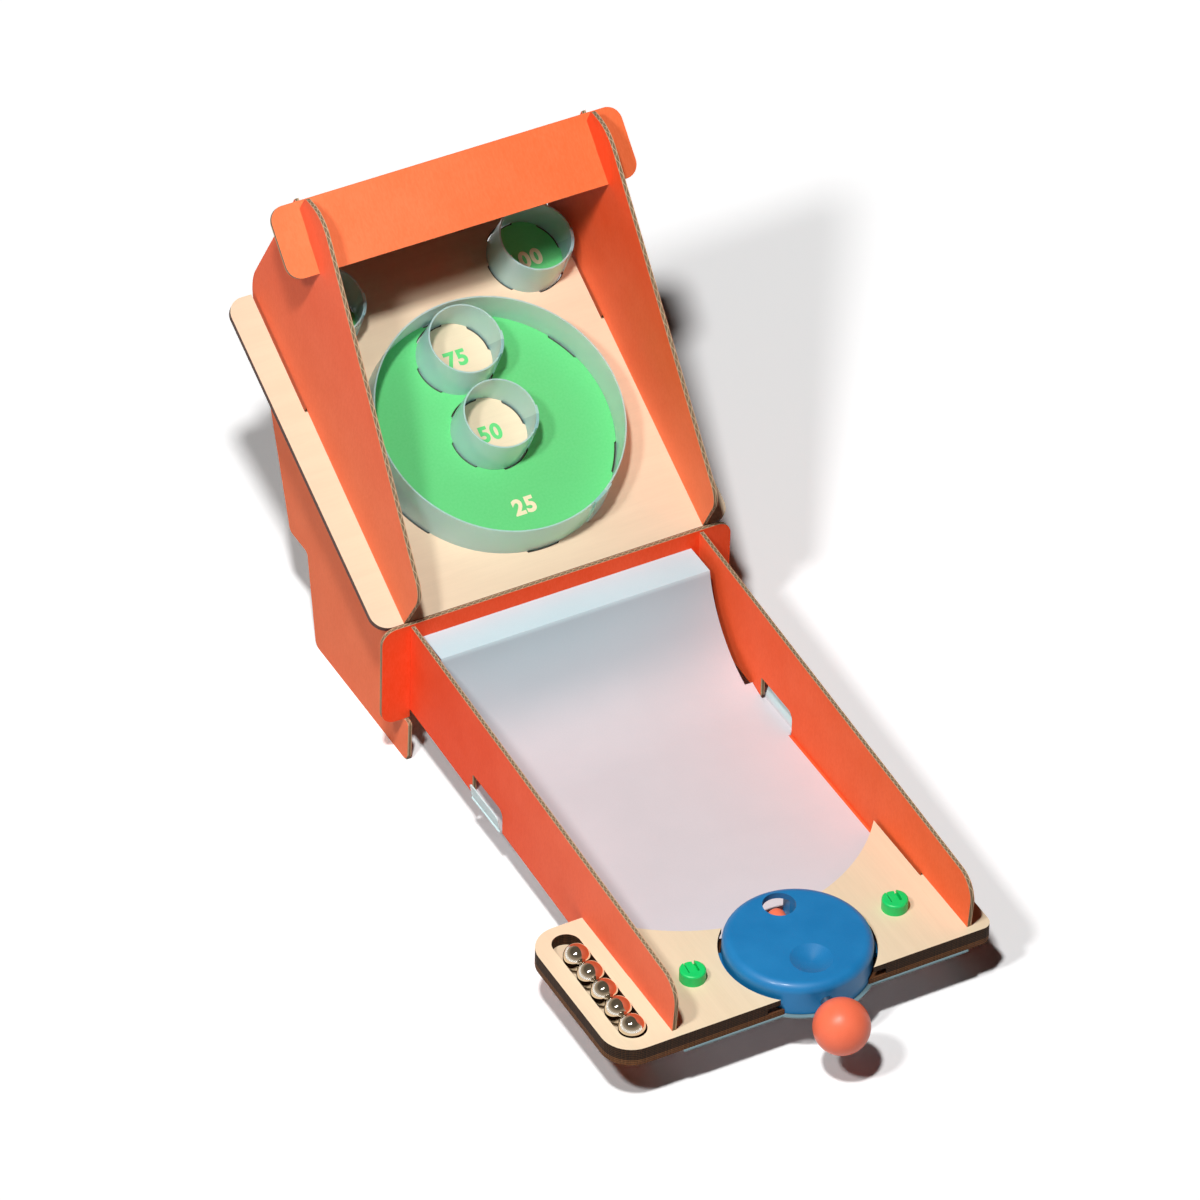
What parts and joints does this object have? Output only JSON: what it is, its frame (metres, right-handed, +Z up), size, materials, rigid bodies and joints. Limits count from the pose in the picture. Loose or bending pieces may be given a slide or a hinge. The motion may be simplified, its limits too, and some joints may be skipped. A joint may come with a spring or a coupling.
{
  "type": "roller ramp game",
  "caption": "Tabletop roller ramp game: a turning plunger launcher and ball tray on a plywood deck, a cardboard lane with a curved ramp, and a sloping board with scoring rings.",
  "frame": {"origin": "middle of the bounding box, on the table under the game", "axes": "+Y along the lane away from the player, +X to the player's right, +Z up"},
  "size_m": [0.19, 0.4318, 0.2388],
  "materials": {
    "orange_card": "printed matte card with tan corrugated edges",
    "plywood": "bare birch plywood with dark laser-cut edges",
    "frosted_sheet": "frosted translucent sheet",
    "ring_strip": "frosted pale blue-green strip",
    "blue_plastic": "matte moulded plastic",
    "orange_plastic": "satin moulded plastic",
    "green_plastic": "satin moulded plastic",
    "rod_steel": "drawn steel rod",
    "spring_steel": "drawn spring wire",
    "ball_steel": "polished steel"
  },
  "bodies": {
    "game": {"left_top_deck": "plywood", "right_top_deck": "plywood", "left_middle_deck": "plywood", "right_middle_deck": "plywood", "left_bottom_deck": "plywood", "right_bottom_deck": "plywood", "lane_sheet": "frosted_sheet", "left_lane_wall": "orange_card", "right_lane_wall": "orange_card", "cross_wall": "orange_card", "left_side_panel": "orange_card", "right_side_panel": "orange_card", "target_board": "plywood", "marquee": "orange_card", "ring_25": "ring_strip", "ring_50": "ring_strip", "ring_75": "ring_strip", "left_ring_100": "ring_strip", "right_ring_100": "ring_strip", "left_peg": "green_plastic", "right_peg": "green_plastic"},
    "launcher": {"launcher_cap": "blue_plastic", "launcher_base": "blue_plastic", "plunger_spring": "spring_steel"},
    "plunger": {"plunger_rod": "rod_steel", "striker": "orange_plastic", "knob_ball": "orange_plastic"},
    "ball_1": {"steel_ball_1": "ball_steel"},
    "ball_2": {"steel_ball_2": "ball_steel"},
    "ball_3": {"steel_ball_3": "ball_steel"},
    "ball_4": {"steel_ball_4": "ball_steel"},
    "ball_5": {"steel_ball_5": "ball_steel"}
  },
  "joints": [
    {"name": "launcher_turn", "type": "hinge", "parent": "game", "child": "launcher", "pos_m": [0.0065, -0.15445, 0.03], "axis": [0, 0, 1], "range_deg": [-18, 32]},
    {"name": "plunger_pull", "type": "slide", "parent": "launcher", "child": "plunger", "axis": [-0.1219, -0.9925, 0], "range_m": [0, 0.014], "stiffness_N_per_m": 120, "deforming": ["plunger_spring"]},
    {"name": "ball_1_lift", "type": "slide", "parent": "game", "child": "ball_1", "axis": [0, 0, 1], "range_m": [0, 0.03]},
    {"name": "ball_2_lift", "type": "slide", "parent": "game", "child": "ball_2", "axis": [0, 0, 1], "range_m": [0, 0.03]},
    {"name": "ball_3_lift", "type": "slide", "parent": "game", "child": "ball_3", "axis": [0, 0, 1], "range_m": [0, 0.03]},
    {"name": "ball_4_lift", "type": "slide", "parent": "game", "child": "ball_4", "axis": [0, 0, 1], "range_m": [0, 0.03]},
    {"name": "ball_5_lift", "type": "slide", "parent": "game", "child": "ball_5", "axis": [0, 0, 1], "range_m": [0, 0.03]}
  ]
}
